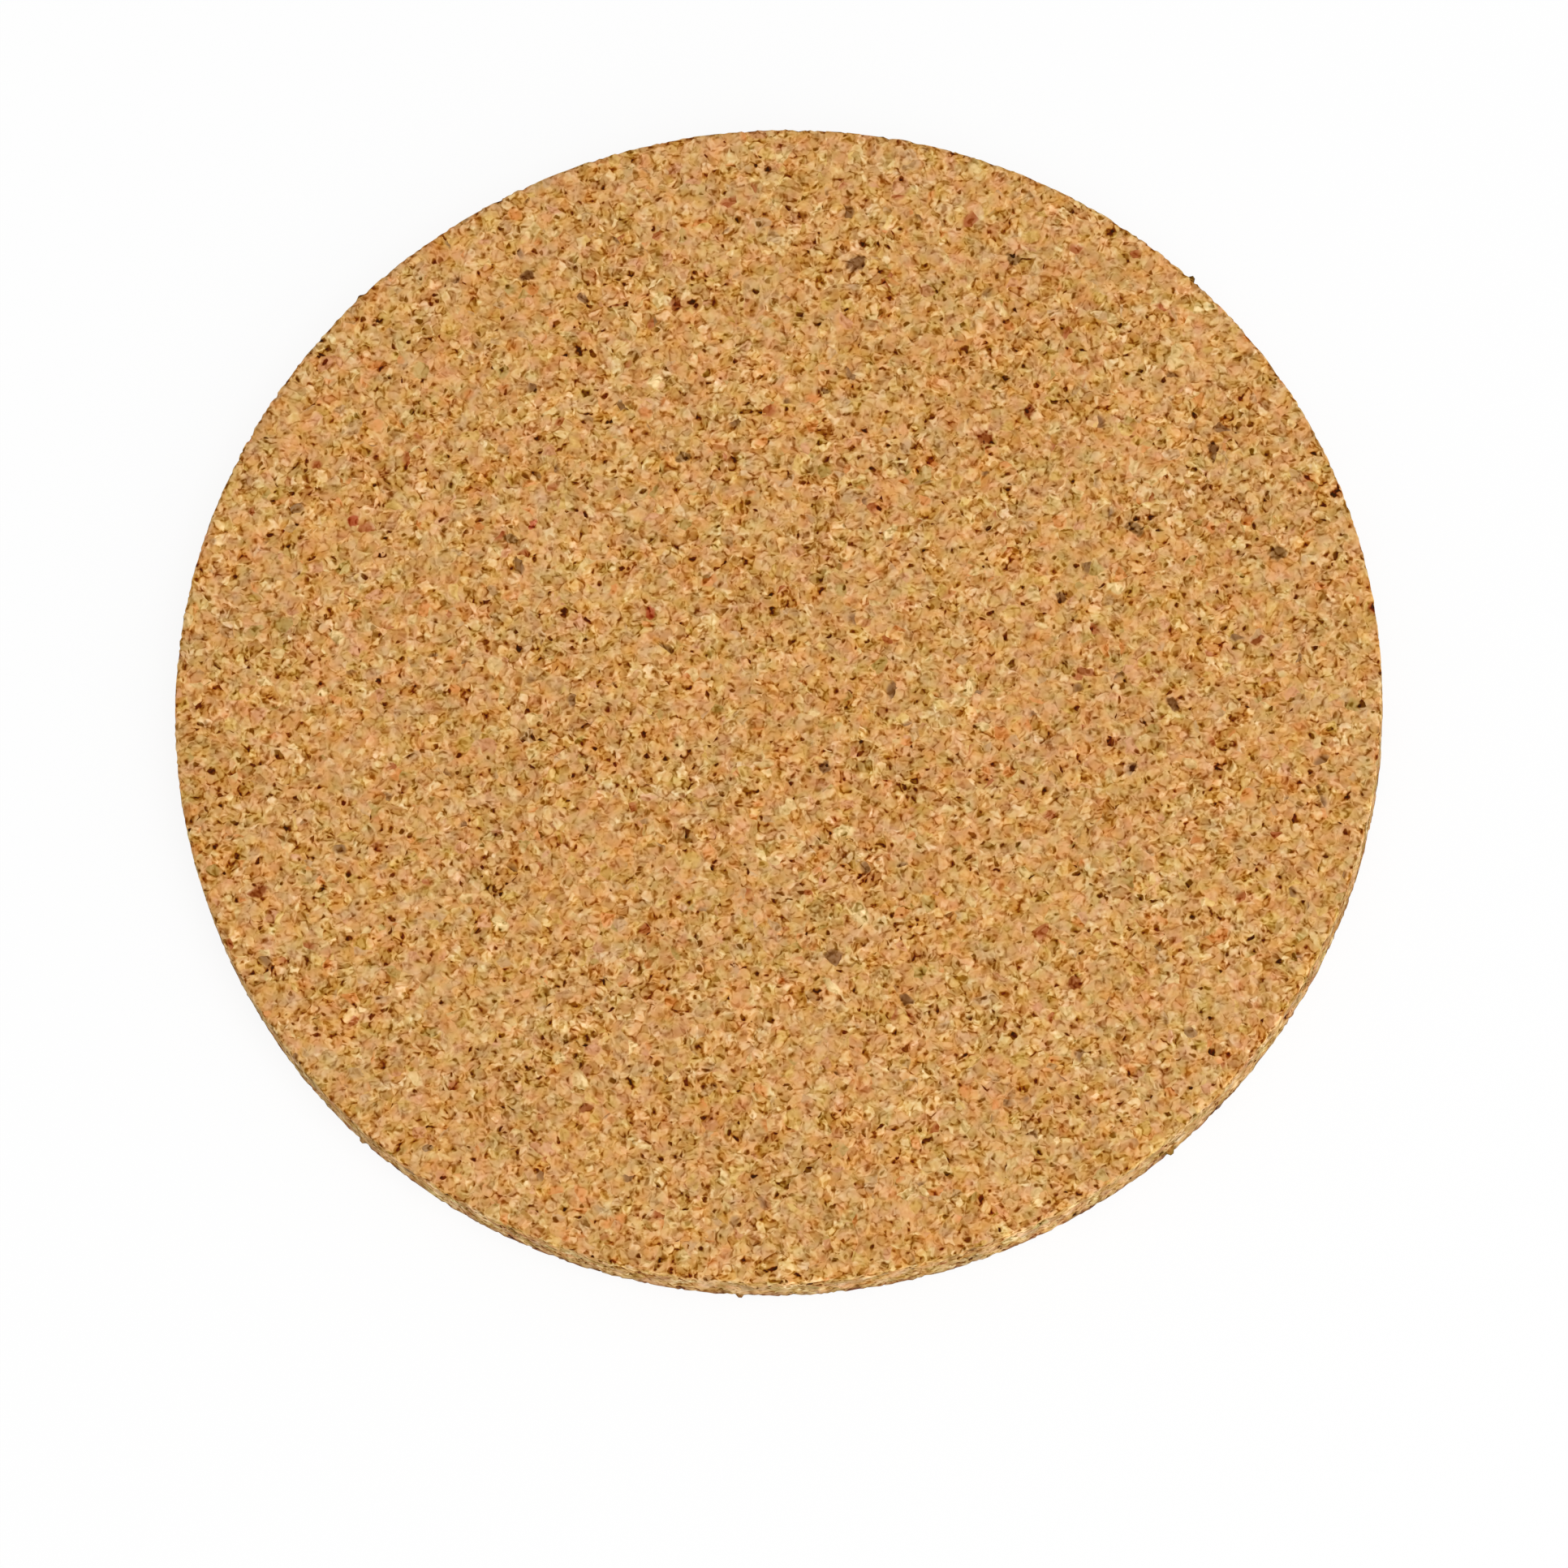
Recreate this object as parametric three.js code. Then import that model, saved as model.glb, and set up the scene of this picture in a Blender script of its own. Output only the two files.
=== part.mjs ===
// Round cork coaster: one plain disc, stamped out of a sheet of pressed cork granules.
// Units are millimetres, +Z is up, and the origin is the middle of the underside.

import * as THREE from "three";

// Driving dimensions
const DIAMETER = 88.9; // 3.5 in across the rim
const THICKNESS = 4; // of the cork sheet
const TOP_EDGE_RADIUS = 0.3; // the edge that the die enters, softened by handling
const BOTTOM_EDGE_RADIUS = 0.2; // the edge that the die leaves, a little crisper

// Fineness of the round faces
const RIM_FACETS = 144;
const EDGE_DIVISIONS = 2; // each edge rounding gets twice as many facets

// Finish
const CORK_COLOUR = "#cb9659";
const CORK_ROUGHNESS = 0.9;

const QUARTER_TURN = Math.PI / 2;

// Half of the disc's section: out along the underside, up the rim and back along the top to the axis
function discSection() {
  const rim = DIAMETER / 2;
  const bottomCentre = { across: rim - BOTTOM_EDGE_RADIUS, up: BOTTOM_EDGE_RADIUS };
  const topCentre = { across: rim - TOP_EDGE_RADIUS, up: THICKNESS - TOP_EDGE_RADIUS };

  const section = new THREE.Path();
  section.moveTo(0, 0);
  section.lineTo(bottomCentre.across, 0);
  section.absarc(bottomCentre.across, bottomCentre.up, BOTTOM_EDGE_RADIUS, -QUARTER_TURN, 0);
  section.lineTo(rim, topCentre.up);
  section.absarc(topCentre.across, topCentre.up, TOP_EDGE_RADIUS, 0, QUARTER_TURN);
  section.lineTo(0, THICKNESS);
  return section.getPoints(EDGE_DIVISIONS);
}

// The section turned about the upright axis: a lathe turns about Y, so the disc is then tipped up to Z
function discGeometry() {
  const geometry = new THREE.LatheGeometry(discSection(), RIM_FACETS);
  geometry.rotateX(QUARTER_TURN);
  return geometry;
}

function corkMaterial() {
  return new THREE.MeshStandardMaterial({
    color: CORK_COLOUR,
    roughness: CORK_ROUGHNESS,
    metalness: 0,
  });
}

function corkDisc() {
  const disc = new THREE.Mesh(discGeometry(), corkMaterial());
  disc.name = "cork_disc";
  return disc;
}

const coaster = new THREE.Group();
coaster.add(corkDisc());

export default coaster;
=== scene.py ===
"""Round cork coaster on a plain pale floor: one disc of pressed cork granules with its open grain."""
import math

import bpy
import numpy as np
from mathutils import Matrix, Vector

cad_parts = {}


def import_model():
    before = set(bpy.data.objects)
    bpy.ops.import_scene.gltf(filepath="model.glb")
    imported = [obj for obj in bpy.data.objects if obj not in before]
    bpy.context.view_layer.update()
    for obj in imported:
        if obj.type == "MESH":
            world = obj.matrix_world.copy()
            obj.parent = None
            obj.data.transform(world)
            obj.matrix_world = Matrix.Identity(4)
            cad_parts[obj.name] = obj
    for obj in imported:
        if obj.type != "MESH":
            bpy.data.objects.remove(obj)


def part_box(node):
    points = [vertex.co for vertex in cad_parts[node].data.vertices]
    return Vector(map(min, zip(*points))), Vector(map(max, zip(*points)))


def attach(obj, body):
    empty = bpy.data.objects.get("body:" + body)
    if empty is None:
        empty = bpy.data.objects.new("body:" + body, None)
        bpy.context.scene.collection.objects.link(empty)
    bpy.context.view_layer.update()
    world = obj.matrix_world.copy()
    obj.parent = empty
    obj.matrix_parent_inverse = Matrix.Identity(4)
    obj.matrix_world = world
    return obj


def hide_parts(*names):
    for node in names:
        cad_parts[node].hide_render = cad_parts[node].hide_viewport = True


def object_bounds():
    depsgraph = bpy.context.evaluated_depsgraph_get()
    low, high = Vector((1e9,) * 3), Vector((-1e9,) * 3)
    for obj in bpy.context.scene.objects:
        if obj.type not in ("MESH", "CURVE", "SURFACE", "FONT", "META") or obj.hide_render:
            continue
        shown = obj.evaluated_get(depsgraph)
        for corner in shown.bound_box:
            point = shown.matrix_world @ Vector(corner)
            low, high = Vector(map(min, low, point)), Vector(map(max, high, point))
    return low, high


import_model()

cad_low, cad_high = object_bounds()

MM = 0.001
QUARTER_TURN = math.pi / 2
EIGHTH_TURN = math.pi / 4

# The disc in millimetres: its size as the frame gives it, and the roundings of its two edges
disc_low, disc_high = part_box("cork_disc")
RADIUS = disc_high.x / MM
THICKNESS = disc_high.z / MM
TOP_EDGE_RADIUS = 0.3
BOTTOM_EDGE_RADIUS = 0.2

# The mesh: first fine and even, then thinned where the cork is flat
GRID_CELLS = 520
EDGE_STEPS = 4
WALL_STEP = 0.2
KEPT_TRIANGLES = 190000

# Names that the mesh, the geometry nodes and the material share
CORK_POINT = "cork_point"
OUTWARD = "outward"

# The texture map, as shares of its side: the top face in its middle, the cut edge in a strip along its
# bottom and one along its top, and a quarter of the underside in each corner. A share of each rounding is
# laid out with the flat face beside it.
TEXTURE_MAP = "OFBake"
MAP_MIDDLE = 0.5
MAP_EDGE = 0.006
MAP_STRIP = 0.024
MAP_TOP_RADIUS = 0.462
MAP_QUARTER_RADIUS = 0.195
MAP_QUARTER_EDGE = 0.036
MAP_ROUNDING_SHARE = 1 / 3

# Crumbs of cork that the die left standing on the rim: angle in degrees, height and size in millimetres,
# and what they add to the colour, as a display value, which fades out past their edge
CRUMBS = (
    (-60.3, 0.9, 0.36, -0.10),
    (-103.9, 0.4, 0.28, -0.20),
    (-143.5, 0.8, 0.28, -0.16),
    (36.1, 3.4, 0.32, -0.50),
    (124.0, 3.5, 0.30, -0.40),
)
CRUMB_FADE = (0.9, 1.5)

# How many of each there are to a millimetre: patches of plainer and livelier cork, waves in the granules'
# outlines, granules, breaks in the seams between flakes, grit, waves of hue, and on the cut edge tears and
# dark breaks
PATCHES = 0.2
OUTLINE_WAVES = 1.3
GRANULES = 0.8
SEAM_BREAKS = 2.2
GRIT = 3.5
HUE_WAVES = 0.9
TEARS = 1.6
EDGE_BREAKS = 1.8

# The same along a granule's own grain and two ways across it
FLAKES = (1.1, 1.75, 1.3)
STREAKS = (2.5, 3.7, 3.0)
DASHES = (2.0, 3.5, 2.6)
FLECKS = (1.1, 2.25, 1.5)
CHIPS = (0.44, 0.72, 0.54)

# The same two ways across the disc and up its cut edge
BLOTCHES = (0.9, 0.9, 0.35)

# Shifts that keep one pattern from falling on another
DASH_SHIFT = (37.0, 11.0, 5.0)
FLECK_SHIFT = (5.0, 37.0, 23.0)
CHIP_SHIFT = (11.0, 29.0, 17.0)

# How far the granules' outlines wander, in millimetres, how soft the flakes' outlines are, how ragged
# flecks and inclusions are, and the share of grit among the streaks
NOISE_MIDDLE = (0.5, 0.5, 0.5)
OUTLINE_REACH = 0.5
FLAKE_BLUR = 0.15
FLECK_RAGGED = 0.23
INCLUSION_RAGGED = 0.38
GRIT_SHARE = 0.4

# Ramps of the grain. A ramp is the two values that it starts and ends at, and what it gives there.
LIVELINESS = (0.3, 0.7, 0.88, 1.12)
GRANULE_CALM = (0.0, 0.12, 0.6, 1.0)
GRANULE_CONTRAST = (0.0, 1.0, 0.7, 1.3)
SEAM_OPENNESS = (0.46, 0.62, 0.0, 1.0)
SEAM_EDGE = (0.0, 0.2, 1.0, 0.0)
CORNER_EDGE = (0.74, 0.9, 0.0, 1.0)
DASH_EDGE = (0.26, 0.44, 1.0, 0.0)
FLECK_SIZES = (0.38, 1.0, 0.0, 0.48)
FLECK_EDGE = (-0.22, 0.02, 1.0, 0.0)

# Depths that the grain is sunk by, in millimetres. Those of flakes and tears are ramps, and the shallowest
# fleck has only a share of the full depth.
FLECK_DEPTH = 0.16
SHALLOWEST_FLECK = 0.3
SEAM_DEPTH = 0.06
CORNER_DEPTH = 0.1
DASH_DEPTH = 0.06
FLAKE_DEPTHS = (0.0, 1.0, 0.05, 0.0)
TEAR_DEPTHS = (0.5, 0.75, 0.0, 0.1)

# Colours are worked out as display values from 0 to 1, and turned to linear ones at the end
CORK_TONE = (221, 166, 103)
DARKEST_TONE = (56, 31, 8)
TONE_LEVELS = 255
DISPLAY_GAMMA = 2.2

# What the grain adds to the brightness: up to so much either way, or so much where it is darkest. Flecks
# take a little less from the blue.
FLAKE_SWING = 0.098
GRANULE_SWING = 0.02
STREAK_SWING = 0.14
DASH_LEVEL = -0.168
SEAM_LEVEL = -0.2
CORNER_LEVEL = -0.18
FLECK_LEVELS = (0.0, 1.0, -0.13, -0.41)
FLECK_BLUE = 0.96

# How far the redness and the yellowness swing either way, and what the brightness adds to them
FLAKE_HUE = 0.008
GRANULE_HUE = 0.012
WAVE_REDNESS = 0.077
WAVE_YELLOWNESS = 0.078
PATCH_HUE = 0.022
PATCH_WARMTH = 0.012
REDNESS_BY_LEVEL = -0.05
PALE_REDNESS = (0.0, 0.16, 0.0, -0.04)
PALE_YELLOWNESS = (0.03, 0.2, 0.0, -0.028)
DARK_YELLOWNESS = (-0.25, -0.03, -0.014, 0.0)

# Odd chips: the share of chips that are so, the colour, and how strongly it shows
CHIP_KINDS = (
    (0.10, (241, 207, 143), 0.75),
    (0.11, (226, 184, 100), 0.65),
    (0.08, (222, 134, 72), 0.68),
    (0.07, (216, 150, 112), 0.65),
    (0.11, (200, 160, 118), 0.62),
    (0.05, (180, 150, 84), 0.70),
    (0.035, (118, 80, 50), 0.75),
    (0.025, (160, 76, 40), 0.70),
)
CHIP_SIZES = (0.2, 0.5)
CHIP_EDGE = (-0.17, 0.04, 1.0, 0.0)
CHIP_EVENNESS = (0.3, 0.7, 0.75, 1.0)
CHIP_STREAKS = 0.6

# The larger bits of bark, resin and pale cork that show in the top face, by colour: place across and along
# the face, length, width, and turn in degrees. Lengths are in millimetres.
INCLUSIONS = {
    (120, 78, 44): (
        (-12.5, 36.0, 1.2, 0.8, 10),
        (-8.6, 33.4, 1.1, 0.7, -60),
        (11.8, 32.1, 1.5, 1.2, 0),
        (5.2, -24.5, 1.2, 0.7, -40),
        (35.0, 12.8, 0.9, 0.8, 60),
        (21.9, 3.6, 0.8, 0.8, 0),
        (28.5, -6.1, 1.3, 0.8, 110),
        (2.5, -5.9, 1.0, 0.8, 70),
    ),
    (154, 114, 72): (
        (-17.1, 16.0, 1.2, 0.7, -30),
        (-3.5, 19.7, 1.2, 0.8, 15),
        (23.3, 30.2, 1.3, 1.0, -40),
        (38.2, 3.8, 1.3, 1.2, 0),
        (28.2, 7.8, 1.5, 0.9, -50),
    ),
    (142, 74, 34): (
        (-1.9, 31.6, 1.2, 0.9, 80),
        (18.7, 16.8, 1.3, 1.0, -10),
        (22.6, -2.4, 1.5, 0.6, -20),
        (-40.0, -7.2, 1.5, 0.9, 10),
        (-19.3, -28.1, 1.1, 0.7, 5),
        (17.5, -25.7, 1.2, 1.0, 30),
        (22.3, 18.3, 1.1, 0.8, 75),
        (35.5, -2.5, 1.1, 0.5, 20),
    ),
    (190, 96, 62): (
        (-28.3, 19.6, 1.0, 0.8, 30),
        (-15.3, 16.7, 1.0, 0.5, 45),
        (-8.0, 8.3, 1.0, 0.7, 80),
    ),
    (247, 211, 148): (
        (3.0, -17.5, 2.0, 1.2, 105),
        (3.0, -11.0, 1.6, 0.9, -10),
        (-23.0, -13.0, 1.5, 0.9, 125),
        (-31.0, 11.0, 1.3, 0.9, 135),
        (0.0, -22.5, 1.8, 0.7, 125),
        (10.5, 11.0, 1.5, 0.7, 40),
        (14.0, -2.0, 1.7, 0.8, 60),
        (26.0, 3.5, 1.3, 0.8, 150),
        (-20.5, -24.0, 1.1, 0.9, 50),
        (-4.5, 26.0, 1.2, 0.9, 30),
    ),
}
INCLUSION_DEPTH = 0.6
INCLUSION_EDGE = (0.7, 1.2, 0.9, 0.0)
FAR_OUTSIDE = 9.0

# What the cut edge adds to the colour, as display values: all over, a painted highlight at its upper lip
# where the top edge rounds over, painted shade at its foot next to the floor, in its blotches, and in the
# dark breaks along its upper edge. The ramps say where each of them lies and how much of it shows.
WALL_SHIFT = (-0.035, 0.005, 0.022)
LIP_PAINTED_HIGHLIGHT = (0.065, 0.045, 0.025)
FOOT_PAINTED_SHADE = (-0.13, -0.12, -0.07)
BLOTCH_SHIFT = 0.24
BREAK_LEVELS = (0.54, 0.66, 0.0, -0.26)
WALL_REACH = (RADIUS - 0.15, RADIUS - 0.03, 0.0, 1.0)
LIP_HIGHLIGHT_HEIGHT = (THICKNESS - 1.1, THICKNESS - 0.5, 0.0, 1.0)
LIP_HIGHLIGHT_BLOTCHES = (0.35, 0.65, 0.3, 1.7)
FOOT_SHADE_HEIGHT = (0.1, 1.2, 1.0, 0.0)
FOOT_SHADE_BLOTCHES = (0.35, 0.65, 0.1, 1.9)
BREAK_REACH = (RADIUS - 0.4, RADIUS - 0.2, 0.0, 1.0)
BREAK_HEIGHT = (THICKNESS - 0.7, THICKNESS - 0.3, 0.0, 1.0)

# The cork's finish
ROUGHNESS = (0.3, 0.7, 0.95, 0.8)
SPECULAR = 0.08
BUMP_STRENGTH = 0.2
BUMP_DISTANCE = 0.1 * MM

# Camera, from the outline of the disc in the photograph
CAMERA_DISTANCE = 1000 * MM
CAMERA_ELEVATION = 72.58
CAMERA_ROLL = -10.70
CAMERA_AIM = Vector((-0.65, -5.36, 0)) * MM
CAMERA_LENS = 311.8
CAMERA_SENSOR = 36

# Floor and light, in metres. A lamp has a name, a place, a width and a level.
FLOOR_SIZE = 6
FLOOR_DROP = 0.02 * MM
FLOOR_BOUNCE = 0.8
FLOOR_OWN_WHITE = 0.88
WHITE = (1, 1, 1, 1)
WORLD_LIGHT = 0.55
LAMPS = (
    ("overhead", Vector((0.25, -0.35, 1.1)), 0.9, 0.39),
    ("front_fill", Vector((0.6, -1.0, 0.5)), 0.8, 0.28),
)


class NodeMaker:
    """Adds nodes to one node tree. A value is a number, a tuple or another node's output."""

    def __init__(self, tree):
        self.tree = tree

    def node(self, kind, inputs=None, **settings):
        """A new node, with its inputs by name or number."""
        made = self.tree.nodes.new(kind)
        for name, value in settings.items():
            setattr(made, name, value)
        for name, value in (inputs or {}).items():
            if isinstance(value, bpy.types.NodeSocket):
                self.tree.links.new(value, made.inputs[name])
            else:
                made.inputs[name].default_value = value
        return made

    def math(self, operation, *values):
        return self.node("ShaderNodeMath", dict(enumerate(values)), operation=operation).outputs[0]

    def product(self, first, second):
        return self.math("MULTIPLY", first, second)

    def total(self, *values):
        result = values[0]
        for value in values[1:]:
            result = self.math("ADD", result, value)
        return result

    def swing(self, value, reach):
        """A value of 0 to 1 taken to -reach to reach."""
        return self.math("MULTIPLY_ADD", value, 2 * reach, -reach)

    def ramped(self, value, low, high, to_low, to_high):
        """value taken smoothly from low..high to to_low..to_high, and held outside."""
        inputs = {
            "Value": value,
            "From Min": low,
            "From Max": high,
            "To Min": to_low,
            "To Max": to_high,
        }
        made = self.node("ShaderNodeMapRange", inputs, interpolation_type="SMOOTHSTEP")
        return made.outputs["Result"]

    def between(self, value, low, high):
        """1 where the value lies between low and high, and 0 elsewhere."""
        above = self.math("GREATER_THAN", value, low)
        return self.product(above, self.math("LESS_THAN", value, high))

    def vector_math(self, operation, *values):
        made = self.node("ShaderNodeVectorMath", dict(enumerate(values)), operation=operation)
        return made.outputs["Value" if operation == "LENGTH" else "Vector"]

    def scaled(self, vector, factor):
        made = self.node("ShaderNodeVectorMath", {0: vector, "Scale": factor}, operation="SCALE")
        return made.outputs["Vector"]

    def turned(self, vector, angles):
        inputs = {"Vector": vector, "Rotation": angles}
        made = self.node("ShaderNodeVectorRotate", inputs, rotation_type="EULER_XYZ")
        return made.outputs["Vector"]

    def parts(self, vector):
        return self.node("ShaderNodeSeparateXYZ", {0: vector}).outputs

    def joined(self, x, y, z):
        return self.node("ShaderNodeCombineXYZ", {0: x, 1: y, 2: z}).outputs[0]

    def grey(self, value):
        return self.joined(value, value, value)

    def noise(self, vector, scale, detail=0.0):
        """The outputs of a noise: one number first, and three as its Color."""
        inputs = {"Vector": vector, "Scale": scale, "Detail": detail}
        return self.node("ShaderNodeTexNoise", inputs).outputs

    def placed(self, vector, counts, shift=(0.0, 0.0, 0.0)):
        """A vector in millimetres taken to the cells or waves of a pattern."""
        return self.vector_math("MULTIPLY_ADD", vector, counts, shift)

    def cells(self, vector, feature="F1", **more):
        """The outputs of a pattern of uneven cells, about one to each unit."""
        inputs = {"Vector": vector, "Scale": 1.0} | more
        made = self.node("ShaderNodeTexVoronoi", inputs, feature=feature, voronoi_dimensions="3D")
        return made.outputs

    def mix(self, factor, first, second):
        """Two numbers mixed by factor."""
        return self.node("ShaderNodeMix", {0: factor, 2: first, 3: second}, data_type="FLOAT").outputs[0]

    def tint(self, factor, first, second):
        """Two colours mixed by factor."""
        return self.node("ShaderNodeMix", {0: factor, 6: first, 7: second}, data_type="RGBA").outputs[2]


def emptied_tree(owner):
    """The node tree of a new material or world, without the nodes that it comes with."""
    owner.use_nodes = True
    owner.node_tree.nodes.clear()
    return owner.node_tree


def add_object(name, data):
    made = bpy.data.objects.new(name, data)
    bpy.context.scene.collection.objects.link(made)
    return made


# The cork's inner pattern, the same in the geometry nodes and in the material

def cork_grain(make, point):
    """The cork's grain at a point, given in millimetres."""
    waves = make.noise(point, OUTLINE_WAVES, detail=2.0)["Color"]
    wander = make.vector_math("SUBTRACT", waves, NOISE_MIDDLE)
    moved = make.vector_math("ADD", point, make.scaled(wander, OUTLINE_REACH))
    patch = make.parts(make.noise(point, PATCHES, detail=1.0)["Color"])
    lively = make.ramped(patch[0], *LIVELINESS)
    granule_place = make.scaled(moved, GRANULES)
    granule = make.cells(granule_place)["Color"]
    granule_gap = make.cells(granule_place, "DISTANCE_TO_EDGE")["Distance"]
    along_grain = make.turned(moved, make.scaled(granule, math.tau))

    flake_place = make.placed(along_grain, FLAKES)
    flake = make.cells(flake_place, "SMOOTH_F1", Smoothness=FLAKE_BLUR)
    flake_gap = make.cells(flake_place, "DISTANCE_TO_EDGE")["Distance"]
    openness = make.ramped(make.noise(point, SEAM_BREAKS, detail=1.0)[0], *SEAM_OPENNESS)
    dash = make.noise(make.placed(along_grain, DASHES, DASH_SHIFT), 1.0)[0]
    streak = make.noise(make.placed(along_grain, STREAKS), 1.0)[0]
    streak = make.mix(GRIT_SHARE, streak, make.noise(point, GRIT)[0])

    fleck = make.cells(make.placed(along_grain, FLECKS, FLECK_SHIFT))
    fleck_random = make.parts(fleck["Color"])
    fleck_size = make.product(make.ramped(fleck_random[0], *FLECK_SIZES), lively)
    past_fleck = make.math("SUBTRACT", fleck["Distance"], fleck_size)
    past_fleck = make.math("ADD", past_fleck, make.swing(streak, FLECK_RAGGED))
    return {
        "moved": moved,
        "patch": patch,
        "lively": lively,
        "along_grain": along_grain,
        "granule": make.parts(granule),
        "flake": make.parts(flake["Color"]),
        "streak": streak,
        "calm": make.ramped(granule_gap, *GRANULE_CALM),
        "seam": make.product(make.ramped(flake_gap, *SEAM_EDGE), openness),
        "corner": make.ramped(flake["Distance"], *CORNER_EDGE),
        "dash": make.ramped(dash, *DASH_EDGE),
        "fleck": make.ramped(past_fleck, *FLECK_EDGE),
        "fleck_random": fleck_random,
    }


def from_axis(make, point):
    """Distance from the disc's upright axis."""
    return make.vector_math("LENGTH", make.vector_math("MULTIPLY", point, (1, 1, 0)))


def wall_share(make, point):
    """1 on the side wall, 0 on the flat faces, and between on the rounded edges."""
    return make.ramped(from_axis(make, point), *WALL_REACH)


def rim_place(degrees, height):
    turn = math.radians(degrees)
    return (RADIUS * math.cos(turn), RADIUS * math.sin(turn), height)


# The mesh

def square_to_disc(cells):
    """An even grid of points on a unit disc: a square's grid, each of its rings bent to a circle."""
    line = np.linspace(-1, 1, cells + 1)
    across, along = np.meshgrid(line, line, indexing="ij")
    mostly_across = np.abs(across) >= np.abs(along)
    reach = np.where(mostly_across, across, along)
    other = np.where(mostly_across, along, across)
    share = np.divide(other, reach, out=np.zeros_like(reach), where=reach != 0)
    angle = np.where(mostly_across, share, 2 - share) * EIGHTH_TURN
    return reach * np.cos(angle), reach * np.sin(angle)


def border(cells):
    """Indices of the grid's outer points, once round the disc."""
    index = np.arange((cells + 1) ** 2).reshape(cells + 1, cells + 1)
    return np.concatenate([index[:-1, 0], index[-1, :-1], index[:0:-1, -1], index[0, :0:-1]])


def rim_profile():
    """(distance inside the rim, height, outward share, upward share) from the top face to the underside."""
    rows = []
    for step in range(1, EDGE_STEPS + 1):
        turn = QUARTER_TURN * step / EDGE_STEPS
        inside = TOP_EDGE_RADIUS * (1 - math.sin(turn))
        height = THICKNESS - TOP_EDGE_RADIUS * (1 - math.cos(turn))
        rows.append((inside, height, math.sin(turn), math.cos(turn)))
    wall = THICKNESS - TOP_EDGE_RADIUS - BOTTOM_EDGE_RADIUS
    wall_steps = round(wall / WALL_STEP)
    for step in range(1, wall_steps):
        rows.append((0, THICKNESS - TOP_EDGE_RADIUS - wall * step / wall_steps, 1, 0))
    for step in range(EDGE_STEPS):
        turn = QUARTER_TURN * step / EDGE_STEPS
        inside = BOTTOM_EDGE_RADIUS * (1 - math.cos(turn))
        height = BOTTOM_EDGE_RADIUS * (1 - math.sin(turn))
        rows.append((inside, height, math.cos(turn), -math.sin(turn)))
    return rows


def disc_arrays():
    """Points in millimetres, outward directions and four-sided faces of the smooth disc."""
    unit_x, unit_y = (axis.ravel() for axis in square_to_disc(GRID_CELLS))
    ring = border(GRID_CELLS)
    ring_x, ring_y = unit_x[ring], unit_y[ring]
    count = len(unit_x)
    flat = np.zeros(count)

    top_reach = RADIUS - TOP_EDGE_RADIUS
    low_reach = RADIUS - BOTTOM_EDGE_RADIUS
    points = [np.column_stack([unit_x * top_reach, unit_y * top_reach, flat + THICKNESS])]
    outward = [np.column_stack([flat, flat, flat + 1])]
    rings = [ring]
    for inside, height, out, up in rim_profile():
        reach = RADIUS - inside
        rings.append(sum(len(part) for part in points) + np.arange(len(ring)))
        level = np.full(len(ring), height)
        points.append(np.column_stack([ring_x * reach, ring_y * reach, level]))
        outward.append(np.column_stack([ring_x * out, ring_y * out, np.full(len(ring), up)]))
    low_start = sum(len(part) for part in points)
    points.append(np.column_stack([unit_x * low_reach, unit_y * low_reach, flat]))
    outward.append(np.column_stack([flat, flat, flat - 1]))
    rings.append(low_start + ring)

    index = np.arange(count).reshape(GRID_CELLS + 1, GRID_CELLS + 1)
    corners = (index[:-1, :-1], index[1:, :-1], index[1:, 1:], index[:-1, 1:])
    top_faces = np.column_stack([corner.ravel() for corner in corners])
    faces = [top_faces]
    for upper, lower in zip(rings, rings[1:]):
        faces.append(np.column_stack([upper, lower, np.roll(lower, -1), np.roll(upper, -1)]))
    faces.append(low_start + top_faces[:, ::-1])
    return np.concatenate(points), np.concatenate(outward), np.concatenate(faces)


def mesh_from_arrays(name, points, faces):
    mesh = bpy.data.meshes.new(name)
    mesh.vertices.add(len(points))
    mesh.vertices.foreach_set("co", points.astype(np.float32).ravel())
    mesh.loops.add(faces.size)
    mesh.loops.foreach_set("vertex_index", faces.astype(np.int32).ravel())
    mesh.polygons.add(len(faces))
    mesh.polygons.foreach_set("loop_start", np.arange(0, faces.size, faces.shape[1], dtype=np.int32))
    mesh.update(calc_edges=True)
    return mesh


def store_vectors(mesh, name, vectors):
    attribute = mesh.attributes.new(name, "FLOAT_VECTOR", "POINT")
    attribute.data.foreach_set("vector", vectors.astype(np.float32).ravel())


def vectors_of(items, name):
    found = np.empty(len(items) * 3, np.float32)
    items.foreach_get(name, found)
    return found.reshape(-1, 3)


def crumb_heights(points):
    """How far each point stands out, in millimetres, because of the crumbs on the rim."""
    out = np.zeros(len(points))
    for degrees, height, size, _ in CRUMBS:
        away = np.linalg.norm(points - np.array(rim_place(degrees, height)), axis=1)
        out = np.maximum(out, np.sqrt(np.maximum(0, size ** 2 - away ** 2)))
    return out


def stored_vector(make, name):
    made = make.node("GeometryNodeInputNamedAttribute", {"Name": name}, data_type="FLOAT_VECTOR")
    return made.outputs["Attribute"]


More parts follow.
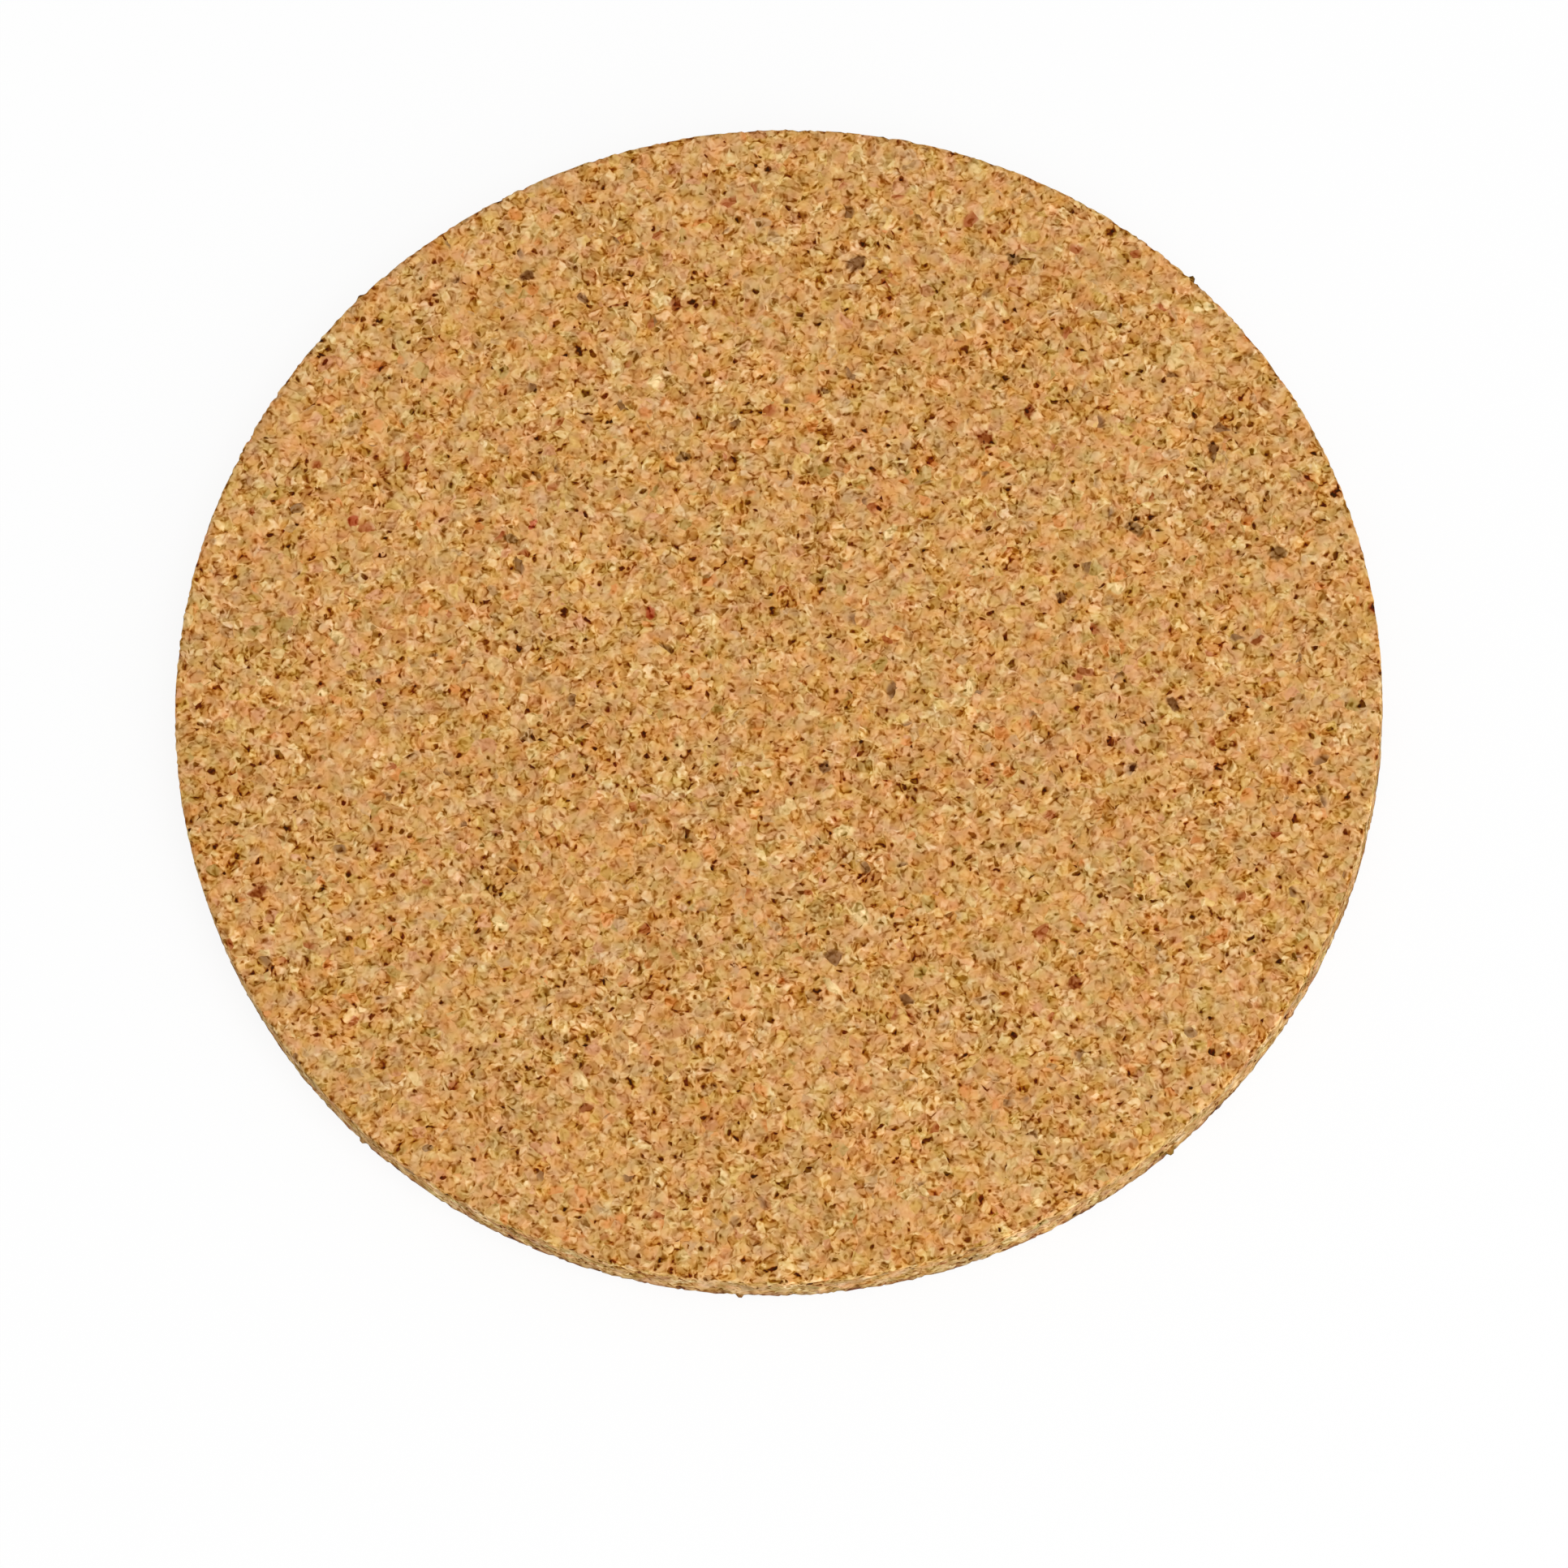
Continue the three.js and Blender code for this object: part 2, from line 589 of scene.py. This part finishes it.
def relief_depth(make, point):
    """How far the cork is sunk at a point, in millimetres."""
    grain = cork_grain(make, point)
    fleck_depth = make.math(
        "MULTIPLY_ADD",
        grain["fleck_random"][1],
        (1 - SHALLOWEST_FLECK) * FLECK_DEPTH,
        SHALLOWEST_FLECK * FLECK_DEPTH,
    )
    fleck = make.product(grain["fleck"], fleck_depth)
    seam = make.product(grain["seam"], SEAM_DEPTH)
    dash = make.product(grain["dash"], DASH_DEPTH)
    corner = make.product(grain["corner"], CORNER_DEPTH)
    hollow = make.math("MAXIMUM", make.math("MAXIMUM", fleck, corner), make.math("MAXIMUM", seam, dash))
    step = make.ramped(grain["flake"][0], *FLAKE_DEPTHS)
    torn = make.ramped(make.noise(point, TEARS, detail=2.0)[0], *TEAR_DEPTHS)
    return make.total(hollow, step, make.product(torn, wall_share(make, point)))


def relief_tree():
    """Geometry nodes that sink each point of the disc by the cork's relief there."""
    tree = bpy.data.node_groups.new("cork_relief", "GeometryNodeTree")
    for way in ("INPUT", "OUTPUT"):
        tree.interface.new_socket("Geometry", in_out=way, socket_type="NodeSocketGeometry")
    make = NodeMaker(tree)
    source = make.node("NodeGroupInput").outputs[0]
    depth = relief_depth(make, stored_vector(make, CORK_POINT))
    offset = make.scaled(stored_vector(make, OUTWARD), make.product(depth, -MM))
    sunk = make.node("GeometryNodeSetPosition", {"Geometry": source, "Offset": offset})
    make.node("NodeGroupOutput", {0: sunk.outputs[0]})
    return tree


def apply_modifiers(piece):
    """Puts the piece's mesh, as its modifiers leave it, in place of its own."""
    graph = bpy.context.evaluated_depsgraph_get()
    made = bpy.data.meshes.new_from_object(piece.evaluated_get(graph))
    piece.modifiers.clear()
    piece.data = made


def keep_in_box(mesh):
    """Puts back the points that thinning left just outside the CAD disc's box."""
    points = vectors_of(mesh.vertices, "co")
    inside = np.clip(points, np.array(disc_low), np.array(disc_high))
    mesh.vertices.foreach_set("co", inside.ravel())
    mesh.update()


def corner_places(mesh):
    """For each corner of a face, where it and the face's middle were on the smooth disc."""
    corner_vertex = np.empty(len(mesh.loops), np.int32)
    mesh.loops.foreach_get("vertex_index", corner_vertex)
    first_corner = np.empty(len(mesh.polygons), np.int32)
    mesh.polygons.foreach_get("loop_start", first_corner)
    corners = np.diff(np.append(first_corner, len(corner_vertex)))
    at = vectors_of(mesh.attributes[CORK_POINT].data, "vector")[corner_vertex]
    face_middle = np.add.reduceat(at, first_corner) / corners[:, None]
    return at, np.repeat(face_middle, corners, axis=0)


def texture_map(mesh):
    """Lays the cork out flat, by where each point was on the smooth disc."""
    at, middle = corner_places(mesh)
    top = MAP_MIDDLE + at[:, :2] * MAP_TOP_RADIUS / RADIUS
    quarter_edge = np.array([MAP_EDGE, MAP_QUARTER_EDGE])
    underside = np.where(middle[:, :2] > 0, quarter_edge, 1 - quarter_edge)
    underside = underside + at[:, :2] * MAP_QUARTER_RADIUS / RADIUS

    middle_turn = np.arctan2(middle[:, 1], middle[:, 0]) / math.pi
    turn = np.arctan2(at[:, 1], at[:, 0]) / math.pi
    turn = middle_turn + (turn - middle_turn + 1) % 2 - 1
    back_half = middle_turn > 0
    along = MAP_EDGE + (1 - 2 * MAP_EDGE) * np.where(back_half, turn, turn + 1)
    up = MAP_STRIP * at[:, 2] / THICKNESS
    wall = np.column_stack([along, np.where(back_half, MAP_EDGE + up, 1 - MAP_EDGE - MAP_STRIP + up)])

    on_top = middle[:, 2] > THICKNESS - TOP_EDGE_RADIUS * MAP_ROUNDING_SHARE
    on_underside = middle[:, 2] < BOTTOM_EDGE_RADIUS * MAP_ROUNDING_SHARE
    places = np.where(on_top[:, None], top, np.where(on_underside[:, None], underside, wall))
    layer = mesh.uv_layers.new(name=TEXTURE_MAP)
    layer.uv.foreach_set("vector", places.astype(np.float32).ravel())


def cork_coaster():
    points, outward, faces = disc_arrays()
    raised = points + outward * crumb_heights(points)[:, None]
    mesh = mesh_from_arrays("cork_coaster", raised * MM, faces)
    store_vectors(mesh, CORK_POINT, points)
    store_vectors(mesh, OUTWARD, outward)
    piece = add_object("cork_coaster", mesh)

    relief = piece.modifiers.new("relief", "NODES")
    relief.node_group = relief_tree()
    apply_modifiers(piece)
    thinned = piece.modifiers.new("thinned", "DECIMATE")
    thinned.ratio = min(1.0, KEPT_TRIANGLES / (2 * len(faces)))
    apply_modifiers(piece)
    piece.data.attributes.remove(piece.data.attributes[OUTWARD])
    keep_in_box(piece.data)
    piece.data.polygons.foreach_set("use_smooth", np.ones(len(piece.data.polygons), bool))
    texture_map(piece.data)
    piece.data.materials.append(cork_material())

    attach(piece, "root")
    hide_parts("cork_disc")


# The materials

def display(tone):
    return tuple(level / TONE_LEVELS for level in tone)


def mark_distance(make, point, place, reach, degrees=0):
    """Distance from the middle of an oval mark, where 1 is its edge."""
    inputs = {
        "Vector": point,
        "Location": place,
        "Rotation": (0, 0, math.radians(degrees)),
        "Scale": reach,
    }
    local = make.node("ShaderNodeMapping", inputs, vector_type="TEXTURE").outputs[0]
    return make.vector_math("LENGTH", local)


def inclusions(make, seen, grain, level):
    """The colour seen, with the larger odd bits in it, which have the cork's own streaks."""
    ragged = make.swing(grain["streak"], INCLUSION_RAGGED)
    streaks = make.grey(level)
    for tone, marks in INCLUSIONS.items():
        nearest = FAR_OUTSIDE
        for x, y, length, width, degrees in marks:
            reach = (length / 2, width / 2, INCLUSION_DEPTH)
            distance = mark_distance(make, grain["moved"], (x, y, THICKNESS), reach, degrees)
            nearest = make.math("MINIMUM", nearest, distance)
        inside = make.ramped(make.math("ADD", nearest, ragged), *INCLUSION_EDGE)
        seen = make.tint(inside, seen, make.vector_math("ADD", streaks, display(tone)))
    return seen


def odd_chips(make, seen, grain, level):
    """The colour seen, with the odd chips tinted, which have some of the cork's own streaks."""
    chip = make.cells(make.placed(grain["along_grain"], CHIPS, CHIP_SHIFT))
    random = make.parts(chip["Color"])
    past_edge = make.math("SUBTRACT", chip["Distance"], make.mix(random[0], *CHIP_SIZES))
    evenness = make.ramped(grain["streak"], *CHIP_EVENNESS)
    inside = make.product(make.ramped(past_edge, *CHIP_EDGE), evenness)
    streaks = make.grey(make.product(level, CHIP_STREAKS))
    start = 0.0
    for share, tone, strength in CHIP_KINDS:
        picked = make.product(make.between(random[1], start, start + share), inside)
        streaked = make.vector_math("ADD", streaks, display(tone))
        seen = make.tint(make.product(picked, strength), seen, streaked)
        start += share
    return seen


def wall_colour(make, seen, point):
    """The colour seen, shifted on the cut edge, with a painted highlight along its upper lip and painted
    shade along its foot, on the crumbs there and in the breaks along it.
    """
    height = make.parts(point)[2]
    blotch = make.parts(make.noise(make.placed(point, BLOTCHES), 1.0, detail=1.5)["Color"])
    # Painted highlight where the top edge rounds over, in blotches
    painted_highlight = make.product(make.ramped(height, *LIP_HIGHLIGHT_HEIGHT), make.ramped(blotch[2], *LIP_HIGHLIGHT_BLOTCHES))
    # Painted shade along the foot, where the disc stands on the floor, in blotches
    painted_shade = make.product(make.ramped(height, *FOOT_SHADE_HEIGHT), make.ramped(blotch[0], *FOOT_SHADE_BLOTCHES))
    shift = make.vector_math("MULTIPLY_ADD", make.grey(painted_highlight), LIP_PAINTED_HIGHLIGHT, WALL_SHIFT)
    shift = make.vector_math("MULTIPLY_ADD", make.grey(painted_shade), FOOT_PAINTED_SHADE, shift)
    shift = make.vector_math("ADD", shift, make.grey(make.swing(blotch[1], BLOTCH_SHIFT)))
    seen = make.vector_math("ADD", seen, make.scaled(shift, wall_share(make, point)))

    beside_rim = make.ramped(from_axis(make, point), *BREAK_REACH)
    on_edge = make.product(beside_rim, make.ramped(height, *BREAK_HEIGHT))
    broken = make.noise(point, EDGE_BREAKS, detail=1.0)[0]
    dark = make.product(on_edge, make.ramped(broken, *BREAK_LEVELS))
    for degrees, crumb_height, size, level in CRUMBS:
        distance = mark_distance(make, point, rim_place(degrees, crumb_height), (size, size, size))
        dark = make.math("MINIMUM", dark, make.ramped(distance, *CRUMB_FADE, level, 0.0))
    return make.vector_math("ADD", seen, make.grey(dark))


def grain_level(make, grain):
    """What the grain, apart from its flecks, adds to the brightness."""
    level = make.total(
        make.swing(grain["flake"][0], FLAKE_SWING),
        make.swing(grain["granule"][2], GRANULE_SWING),
        make.swing(grain["streak"], STREAK_SWING),
        make.product(grain["dash"], DASH_LEVEL),
        make.product(grain["seam"], SEAM_LEVEL),
        make.product(grain["corner"], CORNER_LEVEL),
    )
    contrast = make.product(grain["lively"], make.ramped(grain["granule"][1], *GRANULE_CONTRAST))
    return make.product(level, make.product(contrast, grain["calm"]))


def plain_colour(make, point, grain, level):
    """The cork's own colour: its tone, brighter or darker, redder or greener, yellower or bluer."""
    flake = grain["flake"]
    granule = grain["granule"]
    patch = grain["patch"]
    hue = make.parts(make.noise(point, HUE_WAVES, detail=0.5)["Color"])
    redness = make.total(
        make.swing(flake[1], FLAKE_HUE),
        make.swing(granule[0], GRANULE_HUE),
        make.swing(hue[0], WAVE_REDNESS),
        make.swing(patch[1], PATCH_HUE),
        make.product(level, REDNESS_BY_LEVEL),
        make.ramped(level, *PALE_REDNESS),
    )
    yellowness = make.total(
        make.swing(flake[2], FLAKE_HUE),
        make.swing(granule[1], GRANULE_HUE),
        make.swing(hue[1], WAVE_YELLOWNESS),
        make.swing(patch[1], PATCH_WARMTH),
        make.swing(patch[2], PATCH_HUE),
        make.ramped(level, *PALE_YELLOWNESS),
        make.ramped(level, *DARK_YELLOWNESS),
    )
    # Half of the redness goes to the red, and half comes off the green
    red = make.math("MULTIPLY_ADD", redness, 0.5, level)
    green = make.math("MULTIPLY_ADD", redness, -0.5, level)
    blue = make.math("SUBTRACT", green, yellowness)
    return make.vector_math("ADD", make.joined(red, green, blue), display(CORK_TONE))


def cork_colour(make, point, grain):
    """The cork's linear colour at a point."""
    level = grain_level(make, grain)
    seen = plain_colour(make, point, grain, level)
    seen = odd_chips(make, seen, grain, level)
    seen = inclusions(make, seen, grain, level)
    dark = make.product(grain["fleck"], make.ramped(grain["fleck_random"][1], *FLECK_LEVELS))
    seen = make.vector_math("ADD", seen, make.joined(dark, dark, make.product(dark, FLECK_BLUE)))
    seen = wall_colour(make, seen, point)
    seen = make.vector_math("MAXIMUM", seen, display(DARKEST_TONE))
    return make.node("ShaderNodeGamma", {"Color": seen, "Gamma": DISPLAY_GAMMA}).outputs[0]


def cork_material():
    material = bpy.data.materials.new("pressed_cork")
    make = NodeMaker(emptied_tree(material))
    point = make.node("ShaderNodeAttribute", attribute_name=CORK_POINT).outputs["Vector"]
    grain = cork_grain(make, point)
    relief = {"Strength": BUMP_STRENGTH, "Distance": BUMP_DISTANCE, "Height": grain["streak"]}
    inputs = {
        "Base Color": cork_colour(make, point, grain),
        "Roughness": make.ramped(grain["streak"], *ROUGHNESS),
        "Specular IOR Level": SPECULAR,
        "Normal": make.node("ShaderNodeBump", relief).outputs[0],
    }
    surface = make.node("ShaderNodeBsdfPrincipled", inputs)
    make.node("ShaderNodeOutputMaterial", {"Surface": surface.outputs[0]})
    return material


def shown_ray(make):
    """1 where a ray comes from the camera, a gloss or a clear material, and 0 on other rays."""
    path = make.node("ShaderNodeLightPath").outputs
    glossy = make.math("MAXIMUM", path["Is Glossy Ray"], path["Is Transmission Ray"])
    return make.math("MAXIMUM", path["Is Camera Ray"], glossy)


def floor_material():
    """White where it shows, with the disc's shadow, and a little greyer in the light that it returns."""
    material = bpy.data.materials.new("floor")
    make = NodeMaker(emptied_tree(material))
    shown = shown_ray(make)
    lit = make.node("ShaderNodeBsdfDiffuse", {"Color": make.mix(shown, FLOOR_BOUNCE, 1.0)})
    white = make.node("ShaderNodeEmission", {"Color": WHITE, "Strength": 1.0})
    own = make.product(shown, FLOOR_OWN_WHITE)
    surface = make.node("ShaderNodeMixShader", {0: own, 1: lit.outputs[0], 2: white.outputs[0]})
    make.node("ShaderNodeOutputMaterial", {"Surface": surface.outputs[0]})
    return material


# The set

def floor():
    half = FLOOR_SIZE / 2
    mesh = bpy.data.meshes.new("floor")
    corners = [(-half, -half, 0), (half, -half, 0), (half, half, 0), (-half, half, 0)]
    mesh.from_pydata(corners, [], [(0, 1, 2, 3)])
    mesh.materials.append(floor_material())
    made = add_object("floor", mesh)
    made.location.z = cad_low.z - FLOOR_DROP


def area_light(name, place, width, level):
    """A soft square lamp that looks at the disc and adds level to what a surface facing it returns."""
    lamp = bpy.data.lights.new(name, "AREA")
    lamp.size = width
    lamp.energy = level * math.pi ** 2 * place.length_squared
    made = add_object(name, lamp)
    made.location = place
    made.rotation_euler = place.to_track_quat("Z", "Y").to_euler()
    made.visible_camera = False


def world():
    """An even light from all round, which shows as white."""
    made = bpy.data.worlds.new("studio")
    make = NodeMaker(emptied_tree(made))
    strength = make.mix(shown_ray(make), WORLD_LIGHT, 1.0)
    light = make.node("ShaderNodeBackground", {"Color": WHITE, "Strength": strength})
    make.node("ShaderNodeOutputWorld", {"Surface": light.outputs[0]})
    bpy.context.scene.world = made


def camera():
    rise = math.radians(CAMERA_ELEVATION)
    back = Vector((0, -math.cos(rise), math.sin(rise)))
    level_right = Vector((1, 0, 0))
    level_up = back.cross(level_right)
    roll = math.radians(CAMERA_ROLL)
    right = level_right * math.cos(roll) + level_up * math.sin(roll)
    up = level_up * math.cos(roll) - level_right * math.sin(roll)
    lens = bpy.data.cameras.new("camera")
    lens.lens = CAMERA_LENS
    lens.sensor_width = CAMERA_SENSOR
    made = add_object("camera", lens)
    turn = Matrix((right, up, back)).transposed().to_4x4()
    made.matrix_world = Matrix.Translation(CAMERA_AIM + back * CAMERA_DISTANCE) @ turn
    bpy.context.scene.camera = made


camera()
world()
floor()
for lamp_facts in LAMPS:
    area_light(*lamp_facts)
cork_coaster()

bpy.context.scene.view_settings.view_transform = "Standard"
